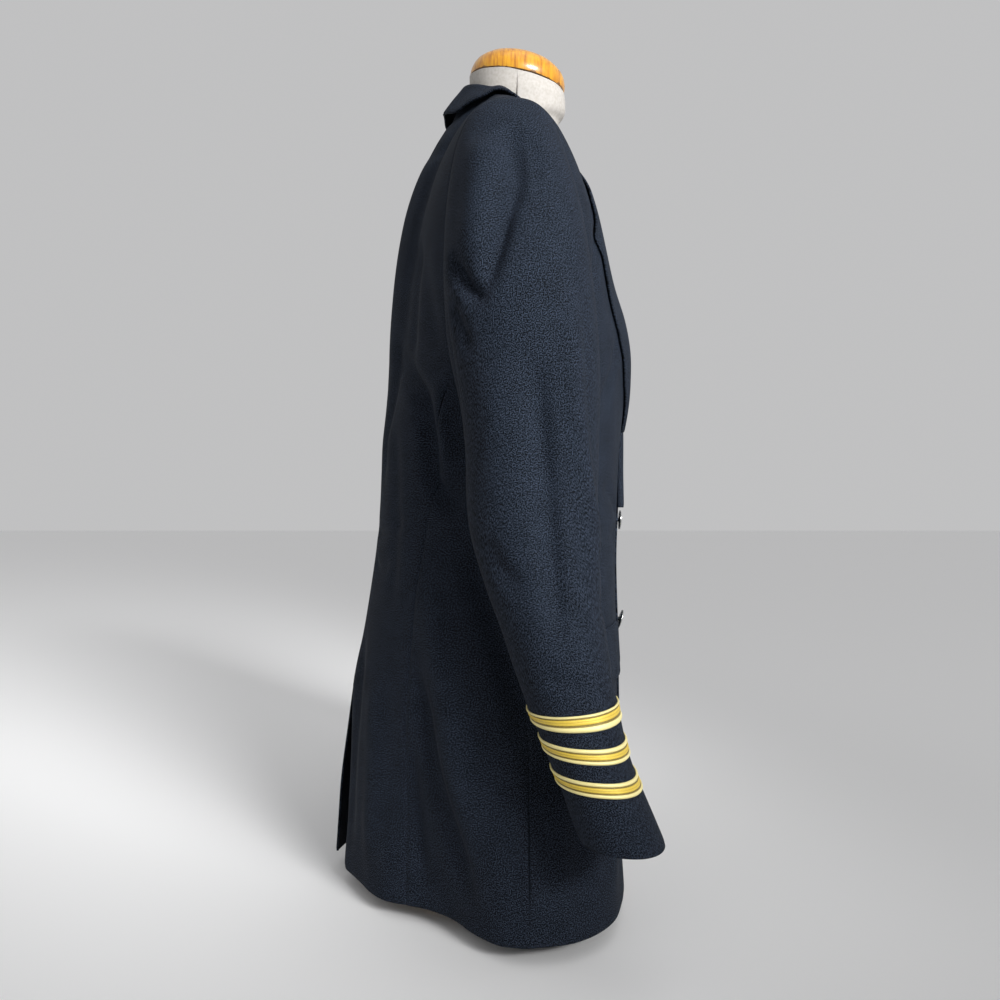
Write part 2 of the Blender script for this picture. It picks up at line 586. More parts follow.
class BodyForm:
    """The three panels of the wearer's left half as smooth surfaces that share their seams."""

    PER_CELL = 7

    def __init__(self) -> None:
        """Builds the coarse grids of the back, side and front."""
        self.shoulder = np.array([*SHOULDER_SEAM, armhole(0.0)[0]])
        self.back = Surface(self.back_grid())
        self.side = Surface(self.side_grid())
        self.front = Surface(self.front_grid())

    def back_grid(self) -> np.ndarray:
        """Back half: columns from the centre back to the side-back seam and armhole."""
        lower = np.array([body_points(np.linspace(0, seam_angle(1, z), 8), z) for z in LOWER_Z])
        rise = along_points([lower[-1, -1], armhole(8.0)[0]], (0, 0.5, 1))
        outer = np.concatenate([rise, armhole(np.arange(7.0, -1, -1))])
        neck = along_points(BACK_NECK, np.linspace(0, 1, 4))
        top = np.concatenate([neck, along_points(self.shoulder, np.linspace(0, 1, 5))[1:]])
        inner = along_points(CENTRE_BACK, np.linspace(0, 1, 11))
        return np.concatenate([lower, coons(lower[-1], top, inner, outer)[1:]])

    def side_grid(self) -> np.ndarray:
        """Side panel: columns from the side-back seam to the side-front seam."""
        lower = np.array([
            body_points(np.linspace(seam_angle(1, z), seam_angle(2, z), 7), z) for z in LOWER_Z
        ])
        top = armhole(np.arange(8.0, 15))
        inner = along_points([lower[-1, 0], top[0]], (0, 0.5, 1))
        outer = along_points([lower[-1, -1], top[-1]], (0, 0.5, 1))
        return np.concatenate([lower, coons(lower[-1], top, inner, outer)[1:]])

    def front_grid(self) -> np.ndarray:
        """Front half: columns from the side-front seam to the front's edge and roll line."""
        rows = []
        for z in LOWER_Z:
            centre = abs(body_points(np.array([180.0]), z)[0, 1])
            if z <= BREAK_Z:
                edge = 180.0 + math.degrees(math.asin(OVERLAP / centre))
            else:
                roll_x = spline(ROLL_LINE[:, 0], ROLL_LINE[:, 2], z)[0]
                edge = 180.0 - math.degrees(math.asin(roll_x / centre))
            rows.append(body_points(np.linspace(seam_angle(2, z), edge, 9), z))
        lower = np.array(rows)
        rise = along_points([lower[-1, 0], armhole(14.0)[0]], (0, 0.5, 1))
        outer = np.concatenate([rise, armhole(np.arange(15.0, 25))])
        roll = np.concatenate([lower[-1:, -1], ROLL_LINE[ROLL_LINE[:, 2] > YOKE_Z]])
        inner = along_points(roll, np.linspace(0, 1, 13))
        top = along_points(self.shoulder, np.linspace(1, 0, 9))
        return np.concatenate([lower, coons(lower[-1], top, outer, inner)[1:]])

    def dense_side(self) -> np.ndarray:
        """Side panel's dense grid."""
        rows, columns = ticks(14, self.PER_CELL), ticks(6, self.PER_CELL)
        points = self.side.dense(rows, columns)
        top = armhole(8.0 + columns)
        shift = top - points[-1]
        ease = smooth((rows - 13.0))[:, None, None]
        return points + ease * shift[None]

    def seam_curve(self, column: int, rows: np.ndarray) -> np.ndarray:
        """A side panel's seam edge at rows of the panels' own count."""
        return self.side.dense(rows, np.array([0.0, 6.0]))[:, 0 if column == 0 else 1]

    def edged(self, rows: np.ndarray, columns: np.ndarray, surface: Surface, seam: int, first: float, way: float) -> np.ndarray:
        """A dense grid with its seam edge on the side panel's edge and the armhole.

        Args:
            rows: rows to read.
            columns: columns to read.
            surface: the panel.
            seam: 0 for the side-back seam, which is the last column, 1 for the side-front one.
            first: armhole segment at the top of the seam.
            way: which way the armhole segments run upwards.

        Returns:
            The dense grid.
        """
        points = surface.dense(rows, columns)
        below = rows <= 14.0
        low = self.seam_curve(0 if seam == 0 else 1, rows[below])
        high = armhole(first + way * (rows[~below] - 14.0))
        at = -1 if seam == 0 else 0
        curve = np.concatenate([low, high])
        return pinned(points, 0 if at == 0 else points.shape[1] - 1, curve, 2 * self.PER_CELL)

    def dense_back(self) -> np.ndarray:
        """Back's dense grid."""
        rows, columns = ticks(22, self.PER_CELL), ticks(7, self.PER_CELL)
        points = self.edged(rows, columns, self.back, 0, 8.0, -1.0)
        shares = (columns[columns >= 3.0] - 3.0) / 4.0
        shift = np.zeros((len(columns), 3))
        shift[columns >= 3.0] = along_points(self.shoulder, shares) - points[-1][columns >= 3.0]
        return points + smooth(rows - 21.0)[:, None, None] * shift[None]

    def dense_front(self) -> np.ndarray:
        """Front's dense grid, with its rounded lower corner."""
        rows, columns = ticks(24, self.PER_CELL), ticks(8, self.PER_CELL)
        points = self.edged(rows, columns, self.front, 1, 14.0, 1.0)
        shift = along_points(self.shoulder, 1 - columns / 8.0) - points[-1]
        points = points + smooth(rows - 23.0)[:, None, None] * shift[None]
        into = CORNER_RADIUS - np.abs(points[0, :, 0] - points[0, -1, 0])
        near = (into > 0) & (points[0, :, 1] < 0)
        rise = np.where(near, CORNER_RADIUS - np.sqrt(np.maximum(CORNER_RADIUS**2 - np.maximum(into, 0) ** 2, 0)), 0)
        ease = np.clip(1 - (points[..., 2] - HEM_Z) / 0.045, 0, 1)
        points[..., 2] += rise[None] * ease
        return points


FORM_SECTIONS = np.array((
    # z, half width, back, front, middle y, column half width, column front
    (0.0123, 0.118, 0.112, 0.096, 0.000, 0.050, 0.060),
    (0.0180, 0.124, 0.118, 0.100, 0.000, 0.050, 0.060),
    (0.1000, 0.138, 0.126, 0.104, 0.000, 0.050, 0.060),
    (0.1800, 0.140, 0.122, 0.104, 0.000, 0.050, 0.060),
    (0.2600, 0.132, 0.112, 0.102, 0.000, 0.050, 0.060),
    (0.3400, 0.120, 0.103, 0.099, 0.000, 0.050, 0.060),
    (0.4000, 0.122, 0.101, 0.102, 0.000, 0.050, 0.060),
    (0.4600, 0.134, 0.102, 0.108, 0.000, 0.050, 0.060),
    (0.5200, 0.144, 0.101, 0.109, 0.000, 0.050, 0.070),
    (0.5800, 0.150, 0.094, 0.091, 0.000, 0.058, 0.098),
    (0.6300, 0.150, 0.083, 0.070, 0.002, 0.058, 0.088),
    (0.6700, 0.148, 0.066, 0.052, 0.005, 0.056, 0.079),
    (0.7050, 0.150, 0.048, 0.041, 0.003, 0.054, 0.067),
    (0.7300, 0.156, 0.034, 0.034, -0.003, 0.051, 0.056),
    (0.7420, 0.154, 0.024, 0.028, -0.005, 0.049, 0.054),
    (0.7500, 0.131, 0.026, 0.017, -0.004, 0.048, 0.054),
    (0.7570, 0.106, 0.028, 0.008, -0.002, 0.047, 0.056),
    (0.7625, 0.078, 0.035, 0.008, -0.002, 0.046, 0.057),
    (0.7680, 0.055, 0.044, 0.030, -0.012, 0.046, 0.048),
    (0.7760, 0.0470, 0.0470, 0.0470, -0.0165, 0.046, 0.046),
    (0.7900, 0.0485, 0.0485, 0.0485, -0.0174, 0.046, 0.046),
))
COLUMN_BLEND = 12
NECK_CENTRE_Y, NECK_RADIUS = -0.0174, 0.049
FORM_CLEAR_TO, FORM_CLEARANCE = 0.735, 0.0027


def oval_radius(half_width: np.ndarray, depth: np.ndarray, turn: np.ndarray) -> np.ndarray:
    """Distance from the middle of an oval to its edge."""
    return 1.0 / np.hypot(np.cos(turn) / half_width, np.sin(turn) / depth)


ARMHOLE_LINE = armhole(np.linspace(0, SEGMENTS, 97))
ARMHOLE_EASE = 0.022
LIFT_FULL_X, LIFT_NONE_X = 0.040, 0.070
OVER_LIFT = WALL + 0.0008
VENT_TOP, VENT_TUCK, VENT_SHIFT, VENT_REACH = 0.190, 0.017, 0.007, 0.055
CLOSURE_X = (0.016, 0.052)


def clear_of_armhole(points: np.ndarray) -> np.ndarray:
    """From 0 at the armhole seam to 1 away from it, so that both sides of the seam still meet."""
    flat = points.reshape(-1, 3)
    nearest = np.full(len(flat), np.inf)
    for place in ARMHOLE_LINE:
        nearest = np.minimum(nearest, np.linalg.norm(flat - place, axis=1))
    return smooth(nearest / ARMHOLE_EASE).reshape(points.shape[:-1])


def body_offset(points: np.ndarray, normals: np.ndarray, side: Side) -> np.ndarray:
    """Shift along the normal that the folds give the body at points of the left-half frame."""
    away = smooth((points[..., 0] - CLOSURE_X[0]) / (CLOSURE_X[1] - CLOSURE_X[0]))
    behind = points[..., 1] > 0
    near_centre = np.where(behind, smooth(points[..., 0] / 0.012), away)
    shared = np.abs(points) * np.array([0.0, 1.0, 1.0])
    folds = fold_offset(points, normals, side, "body")
    return (folds * near_centre + ripple(shared, 0.045, 0.0006) * (1 - near_centre)) * clear_of_armhole(points)


def form_radius(points: np.ndarray) -> np.ndarray:
    """Distance from the form's axis to its surface, in the direction of each point."""
    table = spline(FORM_SECTIONS, FORM_SECTIONS[:, 0], points[..., 2].ravel())
    half_width, back, front, middle, column_half, column_front = table[:, 1:].T
    turn = np.arctan2(points[..., 1].ravel() - middle, points[..., 0].ravel())
    radius = oval_radius(half_width, np.where(turn > 0, back, front), turn)
    column = oval_radius(column_half, column_front, turn)
    blended = (radius**COLUMN_BLEND + column**COLUMN_BLEND) ** (1 / COLUMN_BLEND)
    return np.where(turn > 0, radius, blended).reshape(points.shape[:-1])


def clear_of_form(points: np.ndarray) -> np.ndarray:
    """Points moved out from the axis where the cloth's wall would reach into the form."""
    low = points[..., 2] < FORM_CLEAR_TO
    middle = np.array([0.0, 1.0]) * spline(FORM_SECTIONS[:, 4], FORM_SECTIONS[:, 0], points[..., 2].ravel()).reshape(*points.shape[:-1], 1)
    flat = points[..., :2] - middle
    away = np.linalg.norm(flat, axis=-1)
    short = np.maximum(form_radius(points) + FORM_CLEARANCE - away, 0) * low
    moved = points.copy()
    moved[..., :2] += flat / away[..., None] * short[..., None]
    return moved


def over_lifted(points: np.ndarray, normals: np.ndarray, rows: np.ndarray) -> np.ndarray:
    """The left front raised near the centre so that it lies on the right one."""
    near = smooth((LIFT_NONE_X - points[..., 0]) / (LIFT_NONE_X - LIFT_FULL_X))
    fade = np.clip(1 - (rows - 12.0) / 2.0, 0, 1)[:, None]
    return points + normals * (OVER_LIFT * near * fade)[..., None]


def vent_tucked(points: np.ndarray) -> np.ndarray:
    """The right back with its centre edge tucked in below the vent's top."""
    drop = np.clip((VENT_TOP - points[..., 2]) / (VENT_TOP - HEM_Z), 0, 1)
    ease = smooth(1 - points[..., 0] / VENT_REACH)
    tucked = points.copy()
    tucked[..., 1] -= VENT_TUCK * ease * np.sin(drop * np.pi / 2)
    tucked[..., 0] += VENT_SHIFT * ease * drop
    return tucked


def placed(points: np.ndarray, side: Side) -> np.ndarray:
    """Points of the left-half frame on the wearer's own side."""
    return points * np.array([side.value, 1.0, 1.0])


@dataclass(frozen=True)
class SeamLook:
    """How deep cloth turns in at its edges.

    Args:
        sewn: depth beside a sewn seam.
        hem: depth at a pressed or turned edge.
    """

    sewn: float = 0.0011
    hem: float = 0.0006


class JacketBody:
    """Backs, side panels and fronts of both halves."""

    def __init__(self, form: BodyForm, cloth: bpy.types.Material, look: SeamLook = SeamLook()) -> None:
        """Keeps the form, the cloth's finish and the seams' depths."""
        self.form, self.cloth, self.look = form, cloth, look
        self.front_shell: np.ndarray | None = None

    def build(self) -> None:
        """Builds all six panels."""
        for side in Side:
            self.back(side)
            self.side_panel(side)
            self.front(side)

    def panel(self, name: str, points: np.ndarray, side: Side, edges: dict[str, float], sewn: tuple[str, ...]) -> np.ndarray:
        """One panel with its folds and seams.

        Args:
            name: the panel's CAD node without the side.
            points: its dense grid.
            side: the wearer's side.
            edges: depth at each edge.
            sewn: edges drawn in by half the seam's gap.

        Returns:
            The finished outer points in the left-half frame.
        """
        normals = grid_normals(points)
        shift = body_offset(points, normals, side) + seam_dip(points, edges)
        moved = trimmed(clear_of_form(points + normals * shift[..., None]), sewn)
        label = f"{name}_{side.name.lower()}"
        sewn_shell = moved if name == "back" else with_allowance(moved, normals)
        mesh = sheet_mesh(label, placed(sewn_shell, side), flip=side is Side.LEFT)
        piece = add_piece(f"{label}_cloth", mesh, self.cloth, label)
        thicken(piece, WALL)
        return moved

    def back(self, side: Side) -> None:
        """Back, from the centre seam to the side-back seam."""
        points = self.form.dense_back()
        if side is Side.RIGHT:
            points = vent_tucked(points)
        sewn, hem = self.look.sewn, self.look.hem
        edges = {"left": sewn * 0.7, "right": sewn, "top": sewn, "bottom": hem}
        self.panel("back", points, side, edges, ("left", "right", "top"))

    def side_panel(self, side: Side) -> None:
        """Panel under the arm."""
        sewn, hem = self.look.sewn, self.look.hem
        edges = {"left": sewn, "right": sewn, "top": sewn * 0.3, "bottom": hem}
        self.panel("side", self.form.dense_side(), side, edges, ("left", "right"))

    def front(self, side: Side) -> None:
        """Front, on top of the other one on the wearer's left."""
        points = self.form.dense_front()
        if side is Side.LEFT:
            points = over_lifted(points, grid_normals(points), ticks(24, self.form.PER_CELL))
        sewn, hem = self.look.sewn, self.look.hem
        edges = {"left": sewn, "right": hem, "top": sewn, "bottom": hem}
        moved = self.panel("front", points, side, edges, ("left", "right", "top"))
        if side is Side.LEFT:
            self.front_shell = moved

    def front_y(self, z: float) -> float:
        """Where the left front's face lies at the centre front, at a height."""
        places = self.front_shell.reshape(-1, 3)
        nearest = np.argsort(np.hypot(places[:, 0], places[:, 2] - z))[:4]
        return float(places[nearest, 1].mean())


# Lapels, flaps and collar


LAPEL_WIDTHS = np.array((
    # share of the length, width
    (0.00, 0.006), (0.20, 0.030), (0.45, 0.053), (0.70, 0.071), (0.90, 0.082), (1.00, 0.086),
))
LAPEL_TOP_ROW, GORGE_SLANT, LAPEL_GAP, LAPEL_LIFT = 21.6, 2.4, 0.0011, 0.0022
LAPEL_FIRST_ROW = {Side.LEFT: 10.0, Side.RIGHT: 12.3}
LAPEL_CELLS = (66, 30)
ROLL_STEPS = 9
ROLL_REACH = 0.003
FLAP_ROWS, FLAP_COLUMNS = (5.0, 7.0), (1.0, 5.0)
FLAP_LIFT, FLAP_WALL, FLAP_CORNER = 0.0034, 0.0028, 0.012
COLLAR_ROWS = np.array((
    # stand foot x, y, z, then the roll's and the fall edge's
    (0.000, 0.0538, 0.7532, 0.000, 0.0345, 0.8030, 0.000, 0.0590, 0.7770),
    (0.0224, 0.0486, 0.7552, 0.022, 0.0315, 0.8010, 0.027, 0.0575, 0.7715),
    (0.0434, 0.0336, 0.7614, 0.042, 0.0215, 0.7945, 0.054, 0.0445, 0.7645),
    (0.0590, 0.0170, 0.7690, 0.0560, 0.0090, 0.7875, 0.0765, 0.0190, 0.7725),
    (0.0640, -0.0050, 0.7690, 0.0620, -0.0080, 0.7825, 0.089, -0.0090, 0.7725),
))
COLLAR_FRONT_ROWS = ((22.30, 21.60, 0.040), (21.75, 20.75, 0.046))
COLLAR_GAP, COLLAR_REACH, COLLAR_PUFF = 0.0016, 0.004, 0.0016
COLLAR_CELLS = 8


class LaidOn:
    """Points laid on a front's folded surface, at distances from its free edge."""

    def __init__(self, form: BodyForm, side: Side) -> None:
        """Takes the front of a side, lifted on the wearer's left."""
        grid = form.front.grid
        if side is Side.LEFT:
            grid = over_lifted(grid, grid_normals(grid), np.arange(len(grid), dtype=float))
        self.surface, self.side = Surface(grid), side

    def columns_at(self, rows: np.ndarray, distances: np.ndarray) -> np.ndarray:
        """Columns at distances along the cloth from the free edge, at matching rows."""
        steps = np.linspace(8, 0, 65)
        flat = rows.ravel()
        line = self.surface.dense(flat, steps)
        lengths = np.concatenate([np.zeros((len(flat), 1)), np.cumsum(np.linalg.norm(np.diff(line, axis=1), axis=-1), axis=1)], axis=1)
        wanted = distances.ravel()
        columns = [np.interp(d, lengths[k], steps) for k, d in enumerate(wanted)]
        return np.array(columns).reshape(rows.shape)

    def base(self, rows: np.ndarray, columns: np.ndarray) -> tuple[np.ndarray, np.ndarray]:
        """Folded points and normals at rows and columns."""
        points = self.surface.at(rows, columns)
        inside = np.clip(columns, 0.12, 7.88)
        normals = self.surface.normals(np.clip(rows, 0.12, self.surface.rows - 1.12), inside)
        return points + normals * body_offset(points, normals, self.side)[..., None], normals

    def laid(self, rows: np.ndarray, distances: np.ndarray, lift: np.ndarray) -> np.ndarray:
        """Points at a height over the cloth."""
        rows, distances, lift = np.broadcast_arrays(rows, distances, lift)
        points, normals = self.base(rows, self.columns_at(rows, distances))
        return points + normals * lift[..., None]


class Lapel:
    """A lapel folded out over a front, with the roll at its inner edge."""

    def __init__(self, form: BodyForm, side: Side, cloth: bpy.types.Material) -> None:
        """Keeps the front, side and finish."""
        self.on, self.side, self.cloth = LaidOn(form, side), side, cloth

    def build(self) -> bpy.types.Object:
        """Builds the lapel."""
        first = LAPEL_FIRST_ROW[self.side]
        a = ticks(11, 6)[:, None] / 11
        s = 1 - ticks(5, 6)[None] / 5
        widths = spline(LAPEL_WIDTHS[:, 1], LAPEL_WIDTHS[:, 0], a.ravel())[:, None]
        rows = first + (LAPEL_TOP_ROW - GORGE_SLANT * s - first) * a
        puff = LAPEL_LIFT * np.sin(np.pi * np.minimum(s, 0.9)) * (1 + 0.25 * np.sin(7 * a + 1))
        face = self.on.laid(rows, widths * s, LAPEL_GAP + WALL + puff)
        roll_rows = rows[:, -1]
        edge, normals = self.on.base(roll_rows, np.full_like(roll_rows, 8.0))
        inside, _ = self.on.base(roll_rows, np.full_like(roll_rows, 7.8))
        out = unit(edge - inside)
        turns = np.radians(np.linspace(90, -90, ROLL_STEPS))[1:]
        middle, high = LAPEL_GAP / 2, LAPEL_GAP / 2 + WALL
        roll = [
            edge + normals * (middle + high * math.sin(t)) + out * ROLL_REACH * math.cos(t) for t in turns
        ]
        points = np.concatenate([face, np.stack(roll, axis=1)], axis=1)
        dip = seam_dip(points, {"left": 0.0007, "top": 0.0006, "bottom": 0.0004}, 0.0016)
        points = points + grid_normals(points) * dip[..., None]
        label = f"lapel_{self.side.name.lower()}"
        mesh = sheet_mesh(label, placed(points, self.side), flip=self.side is Side.LEFT)
        piece = add_piece(f"{label}_cloth", mesh, self.cloth, label)
        thicken(piece, WALL)
        return piece


class PocketFlap:
    """A pocket flap with rounded lower corners, laid on a front."""

    def __init__(self, form: BodyForm, side: Side, cloth: bpy.types.Material) -> None:
        """Keeps the front, side and finish."""
        self.on, self.side, self.cloth = LaidOn(form, side), side, cloth

    def build(self) -> bpy.types.Object:
        """Builds the flap."""
        rows = FLAP_ROWS[0] + ticks(6, 5)[:, None] / 6 * (FLAP_ROWS[1] - FLAP_ROWS[0])
        columns = FLAP_COLUMNS[0] + ticks(12, 4)[None] / 12 * (FLAP_COLUMNS[1] - FLAP_COLUMNS[0])
        rows, columns = np.broadcast_arrays(rows, columns)
        plain = self.on.surface.at(rows, columns)
        across = arc_lengths(plain, 1)
        into = FLAP_CORNER - np.minimum(across, across[:, -1:] - across)
        rise = FLAP_CORNER - np.sqrt(np.maximum(FLAP_CORNER**2 - np.maximum(into, 0) ** 2, 0))
        height = arc_lengths(plain, 0)
        share = 1 - height / height[-1:]
        rows = rows + rise / height[-1:] * (FLAP_ROWS[1] - FLAP_ROWS[0]) * share
        points, normals = self.on.base(rows, columns)
        hang = 0.0012 * share * (0.6 + 0.4 * np.sin(9 * columns))
        points = points + normals * (FLAP_LIFT + hang)[..., None]
        dip = seam_dip(points, {"left": 0.0008, "right": 0.0008, "bottom": 0.0008, "top": 0.0018}, 0.0018)
        points = points + grid_normals(points) * dip[..., None]
        label = f"flap_{self.side.name.lower()}"
        mesh = sheet_mesh(label, placed(points, self.side), flip=self.side is Side.LEFT)
        piece = add_piece(f"{label}_cloth", mesh, self.cloth, label)
        thicken(piece, FLAP_WALL)
        return piece


class Collar:
    """Stand and fall in one folded piece, round the neck."""

    def __init__(self, form: BodyForm, cloth: bpy.types.Material) -> None:
        """Keeps the left front that its ends lie on, and the finish."""
        self.on, self.cloth = LaidOn(form, Side.LEFT), cloth

    @staticmethod
    def section(foot: np.ndarray, roll: np.ndarray, edge: np.ndarray) -> np.ndarray:
        """Points from the stand's foot over the roll to the fall's edge."""
        drop = edge - roll
        out = unit(drop * np.array([1, 1, 0]))
        up = np.array([0, 0, 1])
        return np.array([
            foot,
            0.5 * (foot + roll) - 0.0010 * out,
            roll - 0.0014 * out - 0.0060 * up,
            roll,
            roll + 0.0042 * out - 0.0010 * up,
            roll + 0.25 * drop + 0.0026 * out,
            roll + 0.60 * drop + 0.0018 * out,
            edge,
        ])

    def front_section(self, roll_row: float, edge_row: float, distance: float) -> np.ndarray:
        """The same points where the collar lies over the front."""
        shares = np.array([0.0, 0.0, 0.12, 0.30, 0.62, 1.0])
        rows = roll_row + (edge_row - roll_row) * shares
        distances = np.where(np.arange(6) == 0, 0.0, distance * shares + COLLAR_REACH)
        lifts = COLLAR_GAP + WALL + COLLAR_PUFF * np.sin(np.pi * np.minimum(shares + 0.1, 0.95))
        lifts[0], lifts[1] = 0.0, COLLAR_GAP + 2 * WALL + 0.0012
        at = self.on.laid(rows, distances, lifts)
        foot = at[0] + np.array([-0.0050, 0.0010, 0.0020])
        roll = at[1]
        middle = 0.5 * (foot + roll) - np.array([0.0016, 0, 0])
        return np.array([foot, middle, roll + np.array([-0.0030, 0.0, -0.0016]), roll, *at[2:]])

    def build(self) -> bpy.types.Object:
        """Builds the collar."""
        half = [self.section(row[0:3], row[3:6], row[6:9]) for row in COLLAR_ROWS]
        half += [self.front_section(*row) for row in COLLAR_FRONT_ROWS]
        fine = Surface(np.array(half)).dense(ticks(6, COLLAR_CELLS), ticks(7, 6))
        other = placed(fine[:0:-1], Side.RIGHT)
        points = np.concatenate([other, fine])
        share = np.linspace(0, 1, points.shape[1])[None] ** 2
        normals = grid_normals(points)
        wave = ripple(points, 0.021, 0.0006) * share
        dip = seam_dip(points, {"left": 0.0004, "right": 0.0008, "top": 0.0006, "bottom": 0.0006}, 0.0016)
        points = points + normals * (wave + dip)[..., None]
        mesh = sheet_mesh("collar", points, flip=True)
        piece = add_piece("collar_cloth", mesh, self.cloth, "collar")
        thicken(piece, WALL)
        return piece


# Sleeves and braids


BRAID_RINGS = (14.05, 15.25, 16.5)
BRAID_WIDTH, BRAID_THICKNESS, LAYER_GAP = 0.0127, 0.0012, 0.0004
# Share across the braid and height of its face over the cloth: cord, groove, band, groove, cord
BRAID_PROFILE = (
    (0.00, 0.00045), (0.03, 0.00105), (0.08, 0.00155), (0.14, 0.00170), (0.20, 0.00150), (0.26, 0.00080),
    (0.295, 0.00055), (0.34, 0.00085), (0.40, 0.00130), (0.46, 0.00135), (0.50, 0.00115), (0.54, 0.00135),
    (0.60, 0.00130), (0.66, 0.00085), (0.705, 0.00055), (0.74, 0.00080), (0.80, 0.00150), (0.86, 0.00170),
    (0.92, 0.00155), (0.97, 0.00105), (1.00, 0.00045),
)


class Sleeve:
    """Top and under sleeve with three braids."""

    RING_CELL = 8
    SEGMENT_CELL = 5

    def __init__(self, side: Side, cloth: bpy.types.Material, braid: bpy.types.Material) -> None:
        """Keeps the side and finishes."""
        self.side, self.cloth, self.braid = side, cloth, braid

    def folded(self, rings: np.ndarray, segments: np.ndarray) -> tuple[np.ndarray, np.ndarray]:
        """Folded points and normals at every pair of rings and segments."""
        points = sleeve_points(rings, segments)
        above, below = sleeve_points(np.maximum(rings - 0.1, 0), segments), sleeve_points(rings + 0.1, segments)
        back, forth = sleeve_points(rings, segments - 0.2), sleeve_points(rings, segments + 0.2)
        normals = unit(np.cross(below - above, forth - back))
        shift = fold_offset(points, normals, self.side, "sleeve") * clear_of_armhole(points)
        points = points + normals * shift[..., None]
        points[..., 0] += 0.0009 * (1 - smooth(rings))[:, None]
        return points, normals

    def build(self) -> None:
        """Builds the two cloth pieces and the braids."""
        rings = ticks(19, self.RING_CELL)
        for name, first, last in (("under_sleeve", ARM_SEAMS[0], ARM_SEAMS[1]), ("top_sleeve", ARM_SEAMS[1], SEGMENTS + ARM_SEAMS[0])):
            segments = first + ticks(last - first, self.SEGMENT_CELL)
            points, normals = self.folded(rings, segments)
            dip = seam_dip(points, {"left": 0.0009, "right": 0.0009, "bottom": 0.0012, "top": 0.0005})
            points = trimmed(points + normals * dip[..., None], ("left", "right"))
            label = f"{name}_{self.side.name.lower()}"
            points = with_allowance(points, normals)
            mesh = sheet_mesh(label, placed(points, self.side), flip=self.side is Side.LEFT)
            piece = add_piece(f"{label}_cloth", mesh, self.cloth, label)
            thicken(piece, WALL)
        for number, ring in enumerate(BRAID_RINGS, 1):
            self.band(number, ring)

    def band(self, number: int, ring: float) -> None:
        """One braid, closed round the sleeve."""
        ends = spline(SLEEVE_RINGS[:, :3], np.arange(len(SLEEVE_RINGS)), (ring - 0.5, ring + 0.5))
        rings_per_metre = 1.0 / np.linalg.norm(ends[1] - ends[0])
        shares = np.array([row[0] for row in BRAID_PROFILE])
        heights = np.array([row[1] for row in BRAID_PROFILE])
        rings = ring + (shares - 0.5) * BRAID_WIDTH * rings_per_metre
        segments = np.linspace(0, SEGMENTS, SEGMENTS * 8 + 1)
        wander = 0.04 * np.sin(2 * np.pi * segments / SEGMENTS * 2 + ring)
        rows = [self.folded(rings + shift * 0.5, np.array([segment])) for segment, shift in zip(segments, wander)]
        points = np.concatenate([row[0] for row in rows], axis=1)
        normals = np.concatenate([row[1] for row in rows], axis=1)
        points[:, -1], normals[:, -1] = points[:, 0], normals[:, 0]
        points = points + normals * heights[:, None, None]
        label = f"braid_{self.side.name.lower()}_{number}"
        mesh = sheet_mesh(label, placed(points, self.side), flip=self.side is Side.LEFT, joined=True, up=shares * BRAID_WIDTH)
        piece = add_piece(f"{label}_woven", mesh, self.braid, label)
        thicken(piece, 0.0008)


# Buttons


@dataclass(frozen=True)
class ButtonSize:
    """Sizes of a shank button.

    Args:
        radius: of the disc.
        rim: height of the disc's edge.
        dome: height of the face over the rim.
        shank_radius: of the shank.
        shank: how far the disc's back stands off the cloth.
        steps: round the disc.
    """

    radius: float = 0.010
    rim: float = 0.0016
    dome: float = 0.0012
    shank_radius: float = 0.002
    shank: float = 0.0035
    steps: int = 64


class Button:
    """A plain domed metal button on a shank, hanging a little."""

    def __init__(self, name: str, height: float, droop: float, size: ButtonSize = ButtonSize()) -> None:
        """Keeps the button's name, height and droop in degrees."""
        self.name, self.height, self.droop, self.size = name, height, droop, size

    def profile(self) -> list[tuple[float, float]]:
        """Radius and distance out from the cloth, from the shank's foot to the crown."""
        s, r = self.size, self.size.radius
        face = s.shank + s.rim
        return [
            (0.0, 0.0), (s.shank_radius * 0.9, 0.0), (s.shank_radius, 0.0004),
            (s.shank_radius, s.shank * 0.8), (s.shank_radius * 1.6, s.shank),
            (r * 0.90, s.shank), (r * 0.965, s.shank + s.rim * 0.12), (r * 0.995, s.shank + s.rim * 0.35),
            (r, s.shank + s.rim * 0.6), (r * 0.985, s.shank + s.rim * 0.88), (r * 0.95, face),
            (r * 0.905, face + 0.00005), (r * 0.885, face - 0.0003), (r * 0.86, face - 0.0003), (r * 0.84, face),
            (r * 0.70, face + s.dome * 0.42), (r * 0.50, face + s.dome * 0.73), (r * 0.25, face + s.dome * 0.94),
            (0.0, face + s.dome),
        ]

    def build(self, front_y: float, metal: bpy.types.Material) -> bpy.types.Object:
        """Turns the button and stands it on the front's face."""
        shape = bmesh.new()
        points = [shape.verts.new((radius, -out, 0.0)) for radius, out in self.profile()]
        edges = [shape.edges.new(pair) for pair in zip(points, points[1:])]
        bmesh.ops.spin(
            shape, geom=points + edges, cent=(0, 0, 0), axis=(0, 1, 0), angle=2 * math.pi,
            steps=self.size.steps, use_merge=True,
        )
        bmesh.ops.remove_doubles(shape, verts=shape.verts[:], dist=1e-6)
        bmesh.ops.recalc_face_normals(shape, faces=shape.faces[:])
        tilt = Matrix.Rotation(math.radians(self.droop), 4, "X")
        for vert in shape.verts:
            if -vert.co.y > self.size.shank * 0.5:
                vert.co = tilt @ vert.co
        bmesh.ops.translate(shape, verts=shape.verts[:], vec=(0, front_y - SEAM_GAP, self.height))
        mesh = bpy.data.meshes.new(self.name)
        shape.to_mesh(mesh)
        shape.free()
        mesh.shade_smooth()
        return add_piece(f"{self.name}_metal", mesh, metal, self.name)


